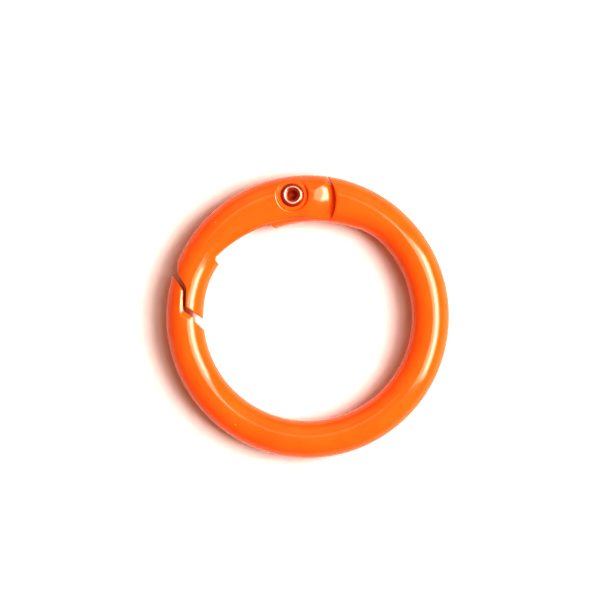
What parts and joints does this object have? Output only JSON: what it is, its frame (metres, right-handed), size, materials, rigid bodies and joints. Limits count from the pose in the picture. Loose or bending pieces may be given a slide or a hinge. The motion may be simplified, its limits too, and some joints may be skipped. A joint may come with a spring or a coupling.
{
  "type": "spring gate key ring",
  "caption": "Round key ring of glossy orange enamelled metal with a sprung gate that swings inwards on a hollow rivet, to clip keys, straps or smaller rings.",
  "frame": {"origin": "centre of the ring, in the middle plane of its bar", "axes": "+Z along the ring's axis, up when it lies flat with the rolled end of the rivet on top; +Y from the centre towards the hinge; the gate's nose is on the -X side"},
  "size_m": [0.034, 0.034, 0.0044],
  "materials": {
    "orange_enamel": "high gloss",
    "spring_steel": "bright drawn wire"
  },
  "bodies": {
    "ring": {"ring_body": "orange_enamel", "torsion_spring": "spring_steel"},
    "gate": {"gate": "orange_enamel", "hinge_rivet": "orange_enamel"}
  },
  "joints": [
    {"name": "gate_hinge", "type": "hinge", "parent": "ring", "child": "gate", "pos_m": [-0.00184, 0.01453, 0], "axis": [0, 0, 1], "range_deg": [0, 30], "stiffness_Nm_per_rad": 0.0121, "springref_deg": -20.05, "deforming": ["torsion_spring"]}
  ]
}
